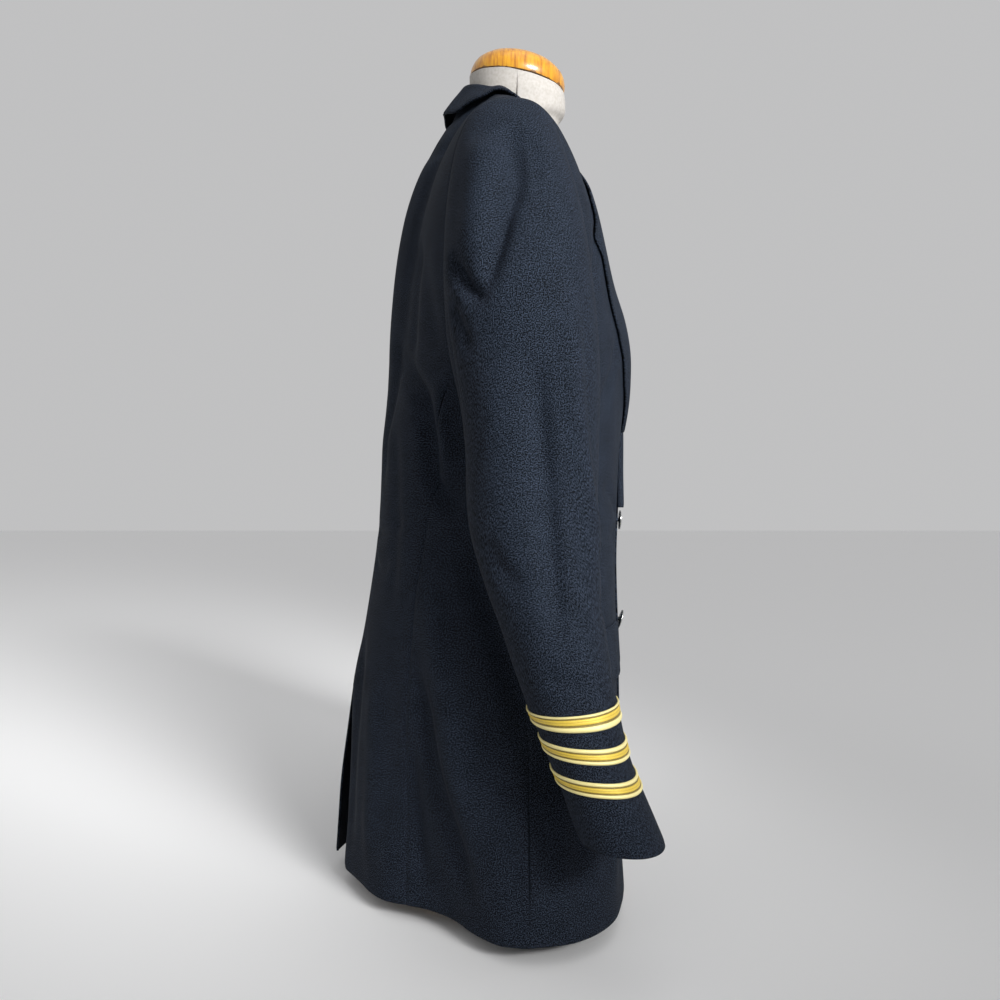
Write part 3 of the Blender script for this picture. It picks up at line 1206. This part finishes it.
class Buttonhole:
    """A worked buttonhole beside a button: a closed ring of stitches on the left front."""

    HALF_LENGTH, HALF_WIDTH, RADIUS, CENTRE_X = 0.0105, 0.0011, 0.0005, 0.0095

    def __init__(self, name: str, height: float) -> None:
        """Keeps the buttonhole's name and height."""
        self.name, self.height = name, height

    def build(self, shell: np.ndarray, silk: bpy.types.Material) -> bpy.types.Object:
        """Lays the ring on the front's face."""
        places = shell.reshape(-1, 3)
        turns = np.linspace(0, 2 * np.pi, 49)
        x = self.CENTRE_X + self.HALF_LENGTH * np.sign(np.cos(turns)) * np.abs(np.cos(turns)) ** 0.6
        z = self.height + self.HALF_WIDTH * np.sin(turns)
        y = np.array([places[np.argsort(np.hypot(places[:, 0] - a, places[:, 2] - b))[:3], 1].mean() for a, b in zip(x, z)])
        centre = np.stack([x, y - self.RADIUS * 0.6, z], axis=-1)
        way = unit(np.gradient(centre, axis=0))
        face = np.array([0.0, -1.0, 0.0])
        across = unit(np.cross(way, face))
        rounds = np.linspace(0, 2 * np.pi, 9)[:, None, None]
        points = centre[None] + self.RADIUS * (np.cos(rounds) * across[None] + np.sin(rounds) * face)
        points[:, -1], points[-1] = points[:, 0], points[0]
        mesh = sheet_mesh(self.name, points, flip=False, joined=True)
        shape = bmesh.new()
        shape.from_mesh(mesh)
        bmesh.ops.recalc_face_normals(shape, faces=shape.faces[:])
        shape.to_mesh(mesh)
        shape.free()
        return add_piece(f"{self.name}_stitches", mesh, silk)


# Dress form


CAP_TILT, CAP_Z = math.radians(-10.6), 0.808
CAP_PROFILE = (
    (0.0, 0.0), (0.975, 0.0), (1.004, 0.0007), (1.010, 0.002), (1.010, 0.0050), (1.002, 0.0080), (0.970, 0.0130),
    (0.920, 0.0172), (0.850, 0.0205), (0.745, 0.0243), (0.620, 0.0270), (0.480, 0.0294), (0.320, 0.0308),
    (0.160, 0.0317), (0.0, 0.0320),
)
BASE_PROFILE = ((0.0, 0.985), (0.0006, 0.994), (0.002, 1.0), (0.0095, 1.0), (0.0112, 0.993), (0.012, 0.98))
FORM_STEPS = 112


def tube_mesh(name: str, rings: np.ndarray) -> bpy.types.Mesh:
    """Closed mesh through rings whose last point is the first one again, with both ends filled."""
    open_mesh = sheet_mesh(name, rings, flip=False, joined=True)
    shape = bmesh.new()
    shape.from_mesh(open_mesh)
    bmesh.ops.holes_fill(shape, edges=[e for e in shape.edges if e.is_boundary], sides=0)
    bmesh.ops.recalc_face_normals(shape, faces=shape.faces[:])
    shape.to_mesh(open_mesh)
    shape.free()
    open_mesh.shade_smooth()
    open_mesh.set_sharp_from_angle(angle=math.radians(40))
    return open_mesh


class DressForm:
    """Limbless torso covered in calico, its turned wooden neck cap and flat base plate."""

    def __init__(self, calico: bpy.types.Material, cap_wood: bpy.types.Material, base_wood: bpy.types.Material) -> None:
        """Keeps the finishes."""
        self.calico, self.cap_wood, self.base_wood = calico, cap_wood, base_wood

    def build(self) -> None:
        """Builds the three pieces."""
        self.torso()
        self.cap()
        self.base()

    def torso(self) -> bpy.types.Object:
        """Torso with a shallow seam down the middle of the back and front and down each side."""
        seams = np.radians([-90, 0, 90, 180])
        even = np.linspace(-np.pi, np.pi, FORM_STEPS + 1)
        beside = np.concatenate([seams + step for step in np.radians([-1.6, -0.8, 0, 0.8, 1.6])])
        beside = (beside + np.pi) % (2 * np.pi) - np.pi
        turns = np.unique(np.round(np.concatenate([even, beside]), 5))
        turns[0], turns[-1] = -np.pi, np.pi
        table = spline(FORM_SECTIONS, np.arange(len(FORM_SECTIONS)), np.linspace(0, len(FORM_SECTIONS) - 1, 101))
        z, half_width, back, front, middle, column_half, column_front = (table[:, k : k + 1] for k in range(7))
        behind = np.sin(turns)[None] > 0
        radius = oval_radius(half_width, np.where(behind, back, front), turns[None])
        column = oval_radius(column_half, column_front, turns[None])
        blended = (radius**COLUMN_BLEND + column**COLUMN_BLEND) ** (1 / COLUMN_BLEND)
        radius = np.where(behind, radius, blended)
        away = np.min([np.abs((turns - s + np.pi) % (2 * np.pi) - np.pi) for s in seams], axis=0)
        radius = radius - 0.0003 * np.exp(-((away[None] * radius / 0.0009) ** 2))
        rings = np.stack([radius * np.cos(turns), middle + radius * np.sin(turns), np.broadcast_to(z, radius.shape)], axis=-1)
        flat = np.stack([NECK_RADIUS * np.cos(turns), NECK_RADIUS * np.sin(turns)], axis=-1)
        edge = 0.0003 * np.sin(turns * 5) + 0.0002 * np.sin(turns * 11 + 1)
        top = np.stack([flat[:, 0], flat[:, 1] + NECK_CENTRE_Y, CAP_Z - flat[:, 1] * math.tan(CAP_TILT) - 0.0006 + edge], axis=-1)
        neck = [rings[-1] + (top - rings[-1]) * share for share in (0.25, 0.5, 0.75, 0.93, 1.0)]
        mesh = tube_mesh("form_torso", np.concatenate([rings, np.array(neck)]))
        piece = add_piece("form_torso_calico", mesh, self.calico, "form_torso")
        return piece

    def cap(self) -> bpy.types.Object:
        """Domed neck cap, tilted forward, with its own coordinates kept as a UV map."""
        shape = bmesh.new()
        points = [shape.verts.new((NECK_RADIUS * share, 0.0, height)) for share, height in CAP_PROFILE]
        edges = [shape.edges.new(pair) for pair in zip(points, points[1:])]
        bmesh.ops.spin(
            shape, geom=points + edges, cent=(0, 0, 0), axis=(0, 0, 1), angle=2 * math.pi, steps=96, use_merge=True
        )
        bmesh.ops.remove_doubles(shape, verts=shape.verts[:], dist=1e-6)
        bmesh.ops.recalc_face_normals(shape, faces=shape.faces[:])
        layer = shape.loops.layers.uv.new("cap")
        for face in shape.faces:
            for loop in face.loops:
                loop[layer].uv = (loop.vert.co.y, loop.vert.co.z)
        place = Matrix.Translation((0, NECK_CENTRE_Y, CAP_Z)) @ Matrix.Rotation(-CAP_TILT, 4, "X")
        bmesh.ops.transform(shape, matrix=place, verts=shape.verts[:])
        mesh = bpy.data.meshes.new("form_cap")
        shape.to_mesh(mesh)
        shape.free()
        mesh.shade_smooth()
        mesh.set_sharp_from_angle(angle=math.radians(40))
        return add_piece("form_cap_wood", mesh, self.cap_wood, "form_cap")

    def base(self) -> bpy.types.Object:
        """Flat oval plate that the torso stands on."""
        turns = np.linspace(-np.pi, np.pi, FORM_STEPS + 1)
        rings = []
        for z, share in BASE_PROFILE:
            radius = oval_radius(0.125 * share, np.where(np.sin(turns) > 0, 0.122, 0.102) * share, turns)
            rings.append(np.stack([radius * np.cos(turns), radius * np.sin(turns), np.full_like(turns, z)], axis=-1))
        mesh = tube_mesh("form_base", np.array(rings))
        return add_piece("form_base_wood", mesh, self.base_wood, "form_base")


# Finishes


def to_linear(code: str) -> tuple[float, float, float, float]:
    """Linear colour of an sRGB hex code."""
    parts = [int(code[k : k + 2], 16) / 255 for k in (1, 3, 5)]
    return (*[p / 12.92 if p <= 0.04045 else ((p + 0.055) / 1.055) ** 2.4 for p in parts], 1.0)


def add_node(tree: bpy.types.NodeTree, kind: str, inputs: dict | None = None, links: dict | None = None, **settings) -> bpy.types.Node:
    """Adds a shader node.

    Args:
        tree: the node tree.
        kind: the node's type.
        inputs: values by socket name or number.
        links: sockets of other nodes by socket name or number.
        settings: the node's own properties.

    Returns:
        The node.
    """
    made = tree.nodes.new(kind)
    for key, value in settings.items():
        setattr(made, key, value)
    for key, value in (inputs or {}).items():
        made.inputs[key].default_value = value
    for key, socket in (links or {}).items():
        tree.links.new(socket, made.inputs[key])
    return made


def ramp(tree: bpy.types.NodeTree, factor: bpy.types.NodeSocket, stops: tuple[tuple[float, str], ...]) -> bpy.types.NodeSocket:
    """Colour by a factor, through stops of position and hex code."""
    made = add_node(tree, "ShaderNodeValToRGB", links={"Fac": factor})
    elements = made.color_ramp.elements
    while len(elements) < len(stops):
        elements.new(0.5)
    for element, (at, code) in zip(elements, stops):
        element.position = at
        element.color = to_linear(code)
    return made.outputs["Color"]


def start(name: str) -> tuple[bpy.types.Material, bpy.types.NodeTree, bpy.types.Node]:
    """A new material with its tree and Principled shader."""
    material = bpy.data.materials.new(name)
    material.use_nodes = True
    return material, material.node_tree, material.node_tree.nodes["Principled BSDF"]


@dataclass(frozen=True)
class Wool:
    """Navy-black wool gabardine of the jacket, with a fine salt-and-pepper fleck.

    Args:
        dark, mid, light: colours of the fleck.
        fleck: size of the fleck, in mm.
        twill: spacing of the twill lines, in mm.
    """

    dark: str = "#010203"
    mid: str = "#090d13"
    light: str = "#313947"
    fleck: float = 1.0
    twill: float = 0.7

    def material(self) -> bpy.types.Material:
        """Builds the material."""
        made, tree, surface = start("navy_black_wool_gabardine")
        uv = add_node(tree, "ShaderNodeUVMap", uv_map="cloth")
        in_mm = add_node(tree, "ShaderNodeVectorMath", {1: (1000, 1000, 1000)}, {0: uv.outputs[0]}, operation="MULTIPLY")
        fleck = add_node(tree, "ShaderNodeTexNoise", {"Scale": 1 / self.fleck, "Detail": 2.0, "Roughness": 0.7}, {"Vector": in_mm.outputs[0]})
        patch = add_node(tree, "ShaderNodeTexNoise", {"Scale": 1 / 22, "Detail": 3.0}, {"Vector": in_mm.outputs[0]})
        mixed = add_node(tree, "ShaderNodeMath", {1: 0.95, 2: 0.0}, {0: fleck.outputs[0]}, operation="MULTIPLY_ADD")
        total = add_node(tree, "ShaderNodeMath", {1: 0.05}, {0: patch.outputs[0], 2: mixed.outputs[0]}, operation="MULTIPLY_ADD")
        colour = ramp(tree, total.outputs[0], ((0.42, self.dark), (0.50, self.mid), (0.57, self.light)))
        tree.links.new(colour, surface.inputs["Base Color"])
        turned = add_node(tree, "ShaderNodeMapping", {"Rotation": (0, 0, math.radians(63))}, {"Vector": in_mm.outputs[0]})
        lines = add_node(tree, "ShaderNodeTexWave", {"Scale": 0.314 / self.twill, "Distortion": 1.2, "Detail": 1.0}, {"Vector": turned.outputs[0]})
        bump = add_node(tree, "ShaderNodeBump", {"Strength": 0.3, "Distance": 0.0001}, {"Height": lines.outputs["Fac"]})
        tree.links.new(bump.outputs[0], surface.inputs["Normal"])
        surface.inputs["Roughness"].default_value = 0.82
        surface.inputs["Specular IOR Level"].default_value = 0.08
        surface.inputs["Sheen Weight"].default_value = 0.008
        surface.inputs["Sheen Roughness"].default_value = 0.5
        surface.inputs["Sheen Tint"].default_value = to_linear("#9fb0cc")
        return made


@dataclass(frozen=True)
class GoldBraid:
    """Woven gold-thread braid: a pale cord at each edge, a groove, and a flecked band.

    Args:
        cord, groove, band, seam, fleck: colours.
        width: of the braid, in metres.
    """

    cord: str = "#e6d794"
    groove: str = "#4a3606"
    band: str = "#d2b034"
    seam: str = "#a98722"
    fleck: str = "#e6cf6c"
    width: float = BRAID_WIDTH

    def material(self) -> bpy.types.Material:
        """Builds the material."""
        made, tree, surface = start("gold_thread_braid")
        uv = add_node(tree, "ShaderNodeUVMap", uv_map="cloth")
        split = add_node(tree, "ShaderNodeSeparateXYZ", links={0: uv.outputs[0]})
        share = add_node(tree, "ShaderNodeMath", {1: 1 / self.width}, {0: split.outputs[1]}, operation="MULTIPLY")
        stops = (
            (0.00, self.cord), (0.22, self.cord), (0.255, self.groove), (0.335, self.groove), (0.37, self.band),
            (0.47, self.band), (0.50, self.seam), (0.53, self.band), (0.63, self.band), (0.665, self.groove),
            (0.745, self.groove), (0.78, self.cord), (1.00, self.cord),
        )
        colour = ramp(tree, share.outputs[0], stops)
        in_mm = add_node(tree, "ShaderNodeVectorMath", {1: (1000, 1000, 1000)}, {0: uv.outputs[0]}, operation="MULTIPLY")
        turned = add_node(tree, "ShaderNodeMapping", {"Rotation": (0, 0, math.radians(40))}, {"Vector": in_mm.outputs[0]})
        threads = add_node(tree, "ShaderNodeTexWave", {"Scale": 0.314 / 0.8, "Distortion": 2.5, "Detail": 2.0}, {"Vector": turned.outputs[0]})
        noise = add_node(tree, "ShaderNodeTexNoise", {"Scale": 1.1, "Detail": 3.0}, {"Vector": in_mm.outputs[0]})
        weave = add_node(tree, "ShaderNodeMath", links={0: threads.outputs["Fac"], 1: noise.outputs[0]}, operation="MULTIPLY")
        amount = add_node(tree, "ShaderNodeMath", {1: 0.75}, {0: weave.outputs[0]}, operation="MULTIPLY")
        mixed = add_node(tree, "ShaderNodeMix", {7: to_linear(self.fleck)}, {"Factor": amount.outputs[0]}, data_type="RGBA", blend_type="SCREEN")
        tree.links.new(colour, mixed.inputs[6])
        tree.links.new(mixed.outputs[2], surface.inputs["Base Color"])
        bump = add_node(tree, "ShaderNodeBump", {"Strength": 0.6, "Distance": 0.0003}, {"Height": weave.outputs[0]})
        tree.links.new(bump.outputs[0], surface.inputs["Normal"])
        surface.inputs["Metallic"].default_value = 0.2
        surface.inputs["Roughness"].default_value = 0.45
        return made


@dataclass(frozen=True)
class Nickel:
    """Bright nickel-plated brass of the buttons."""

    colour: str = "#c9cbc9"

    def material(self) -> bpy.types.Material:
        """Builds the material."""
        made, tree, surface = start("nickel_plated_brass")
        place = add_node(tree, "ShaderNodeTexCoord")
        noise = add_node(tree, "ShaderNodeTexNoise", {"Scale": 900.0, "Detail": 3.0}, {"Vector": place.outputs["Object"]})
        rough = add_node(tree, "ShaderNodeMapRange", {3: 0.18, 4: 0.34}, {0: noise.outputs[0]})
        tree.links.new(rough.outputs[0], surface.inputs["Roughness"])
        surface.inputs["Base Color"].default_value = to_linear(self.colour)
        surface.inputs["Metallic"].default_value = 1.0
        return made


@dataclass(frozen=True)
class Calico:
    """Off-white cotton calico over the form, in a plain weave with slubs."""

    colour: str = "#b5b1ac"
    thread: float = 0.55

    def material(self) -> bpy.types.Material:
        """Builds the material."""
        made, tree, surface = start("cotton_calico")
        place = add_node(tree, "ShaderNodeTexCoord")
        in_mm = add_node(tree, "ShaderNodeVectorMath", {1: (1000, 1000, 1000)}, {0: place.outputs["Object"]}, operation="MULTIPLY")
        weave = add_node(tree, "ShaderNodeTexWave", {"Scale": 0.314 / self.thread, "Distortion": 0.6}, {"Vector": in_mm.outputs[0]}, bands_direction="Z")
        slub = add_node(tree, "ShaderNodeTexNoise", {"Scale": 0.35, "Detail": 4.0}, {"Vector": in_mm.outputs[0]})
        colour = ramp(tree, slub.outputs[0], ((0.35, "#aaa59e"), (0.60, self.colour)))
        tree.links.new(colour, surface.inputs["Base Color"])
        height = add_node(tree, "ShaderNodeMath", {1: 0.4}, {0: weave.outputs["Fac"], 2: slub.outputs[0]}, operation="MULTIPLY_ADD")
        bump = add_node(tree, "ShaderNodeBump", {"Strength": 0.25, "Distance": 0.0002}, {"Height": height.outputs[0]})
        tree.links.new(bump.outputs[0], surface.inputs["Normal"])
        surface.inputs["Roughness"].default_value = 0.85
        surface.inputs["Specular IOR Level"].default_value = 0.25
        return made


@dataclass(frozen=True)
class Wood:
    """Honey-varnished beech, with slanting grain strokes.

    Args:
        name: of the material.
        rim: whether a dark line and shadowed patches run along the lower edge, as on the cap.
    """

    name: str
    rim: bool
    light: str = "#cc921a"
    mid: str = "#bb7c16"
    dark: str = "#905410"
    edge: str = "#5a3a12"

    def material(self) -> bpy.types.Material:
        """Builds the material."""
        made, tree, surface = start(self.name)
        place = add_node(tree, "ShaderNodeTexCoord")
        turned = add_node(tree, "ShaderNodeMapping", {"Rotation": (math.radians(-38), 0, 0), "Scale": (90, 330, 40)}, {"Vector": place.outputs["Object"]})
        grain = add_node(tree, "ShaderNodeTexNoise", {"Scale": 1.0, "Detail": 3.0, "Roughness": 0.55}, {"Vector": turned.outputs[0]})
        colour = ramp(tree, grain.outputs[0], ((0.28, self.dark), (0.45, self.mid), (0.58, self.light)))
        if self.rim:
            uv = add_node(tree, "ShaderNodeUVMap", uv_map="cap")
            split = add_node(tree, "ShaderNodeSeparateXYZ", links={0: uv.outputs[0]})
            patches = add_node(tree, "ShaderNodeTexNoise", {"Scale": 90.0, "Detail": 1.0}, {"Vector": place.outputs["Object"]})
            reach = add_node(tree, "ShaderNodeMapRange", {1: 0.5, 2: 0.72, 3: 0.0009, 4: 0.0034}, {0: patches.outputs[0]})
            height = add_node(tree, "ShaderNodeMath", links={0: split.outputs[1], 1: reach.outputs[0]}, operation="DIVIDE")
            shade = add_node(tree, "ShaderNodeMapRange", {1: 0.75, 2: 1.0, 3: 0.85, 4: 0.0}, {0: height.outputs[0]})
            mixed = add_node(tree, "ShaderNodeMix", {7: to_linear(self.edge)}, {0: shade.outputs[0], 6: colour}, data_type="RGBA")
            colour = mixed.outputs[2]
        tree.links.new(colour, surface.inputs["Base Color"])
        surface.inputs["Roughness"].default_value = 0.34
        surface.inputs["Coat Weight"].default_value = 0.5
        surface.inputs["Coat Roughness"].default_value = 0.12
        return made


@dataclass(frozen=True)
class Thread:
    """Twisted navy silk of the worked buttonholes."""

    colour: str = "#0b0f15"

    def material(self) -> bpy.types.Material:
        """Builds the material."""
        made, tree, surface = start("navy_buttonhole_silk")
        uv = add_node(tree, "ShaderNodeUVMap", uv_map="cloth")
        stitches = add_node(tree, "ShaderNodeTexWave", {"Scale": 0.314 / 0.0008}, {"Vector": uv.outputs[0]})
        bump = add_node(tree, "ShaderNodeBump", {"Strength": 0.6, "Distance": 0.0002}, {"Height": stitches.outputs["Fac"]})
        tree.links.new(bump.outputs[0], surface.inputs["Normal"])
        surface.inputs["Base Color"].default_value = to_linear(self.colour)
        surface.inputs["Roughness"].default_value = 0.5
        return made


@dataclass(frozen=True)
class Plain:
    """An even matt surface, for the studio's floor."""

    name: str
    colour: str

    def material(self) -> bpy.types.Material:
        """Builds the material."""
        made, tree, surface = start(self.name)
        place = add_node(tree, "ShaderNodeTexCoord")
        noise = add_node(tree, "ShaderNodeTexNoise", {"Scale": 3.0}, {"Vector": place.outputs["Object"]})
        rough = add_node(tree, "ShaderNodeMapRange", {3: 0.85, 4: 0.95}, {0: noise.outputs[0]})
        tree.links.new(rough.outputs[0], surface.inputs["Roughness"])
        surface.inputs["Base Color"].default_value = to_linear(self.colour)
        return made


# Studio


class Studio:
    """Pale floor, soft light from above, and the camera at the photograph's place."""

    def build(self) -> None:
        """Builds floor, lights, world and camera."""
        shape = bmesh.new()
        bmesh.ops.create_grid(shape, x_segments=2, y_segments=2, size=6.0)
        mesh = bpy.data.meshes.new("floor")
        shape.to_mesh(mesh)
        shape.free()
        floor = bpy.data.objects.new("floor", mesh)
        bpy.context.scene.collection.objects.link(floor)
        floor.data.materials.append(Plain("matt_studio_paper", "#f4f4f4").material())
        self.area("top_light", (-0.30, -0.15, 2.0), (-0.05, -0.02, 0.6), 1.0, 2.2, 180)
        self.area("key_light", (-1.20, -0.72, 1.05), (-0.22, -0.03, 0.58), 0.80, 4.3, 31)
        world = bpy.data.worlds.new("studio")
        world.use_nodes = True
        world.node_tree.nodes["Background"].inputs[0].default_value = to_linear("#fbfbfc")
        world.node_tree.nodes["Background"].inputs[1].default_value = 0.55
        bpy.context.scene.world = world
        bpy.context.scene.view_settings.view_transform = "Standard"
        camera = bpy.data.objects.new("camera", bpy.data.cameras.new("camera"))
        camera.data.lens = 37.8
        camera.data.shift_y = -0.03
        camera.location = (-1.09, 0.0, 0.41)
        camera.rotation_euler = (math.radians(90), 0.0, math.radians(-90))
        bpy.context.scene.collection.objects.link(camera)
        bpy.context.scene.camera = camera

    def area(self, name: str, place: tuple, aim: tuple, size: float, power: float, spread: float) -> None:
        """A square soft light at a place, turned to its aim."""
        lamp = bpy.data.lights.new(name, "AREA")
        lamp.size, lamp.energy, lamp.spread = size, power, math.radians(spread)
        made = bpy.data.objects.new(name, lamp)
        made.location = place
        way = np.array(aim) - np.array(place)
        flat = math.hypot(way[0], way[1])
        made.rotation_euler = (math.atan2(flat, -way[2]), 0.0, math.atan2(way[1], way[0]) - math.pi / 2)
        bpy.context.scene.collection.objects.link(made)


def main() -> None:
    """Builds the dressed jacket and its studio."""
    logging.basicConfig(level=logging.INFO, format="%(message)s")
    wool, braid = Wool().material(), GoldBraid().material()
    form = BodyForm()
    body = JacketBody(form, wool)
    body.build()
    for side in Side:
        Lapel(form, side, wool).build()
        PocketFlap(form, side, wool).build()
        Sleeve(side, wool, braid).build()
    Collar(form, wool).build()
    metal, silk = Nickel().material(), Thread().material()
    for name, height, droop in (("button_upper", 0.3585, 3.0), ("button_lower", 0.2565, 16.0)):
        Button(name, height, droop).build(body.front_y(height), metal)
        Buttonhole(name.replace("button", "buttonhole"), height).build(body.front_shell, silk)
    cap_wood, base_wood = Wood("varnished_beech_cap", True), Wood("varnished_beech_base", False)
    DressForm(Calico().material(), cap_wood.material(), base_wood.material()).build()
    Studio().build()


if __name__ == "__main__":
    main()
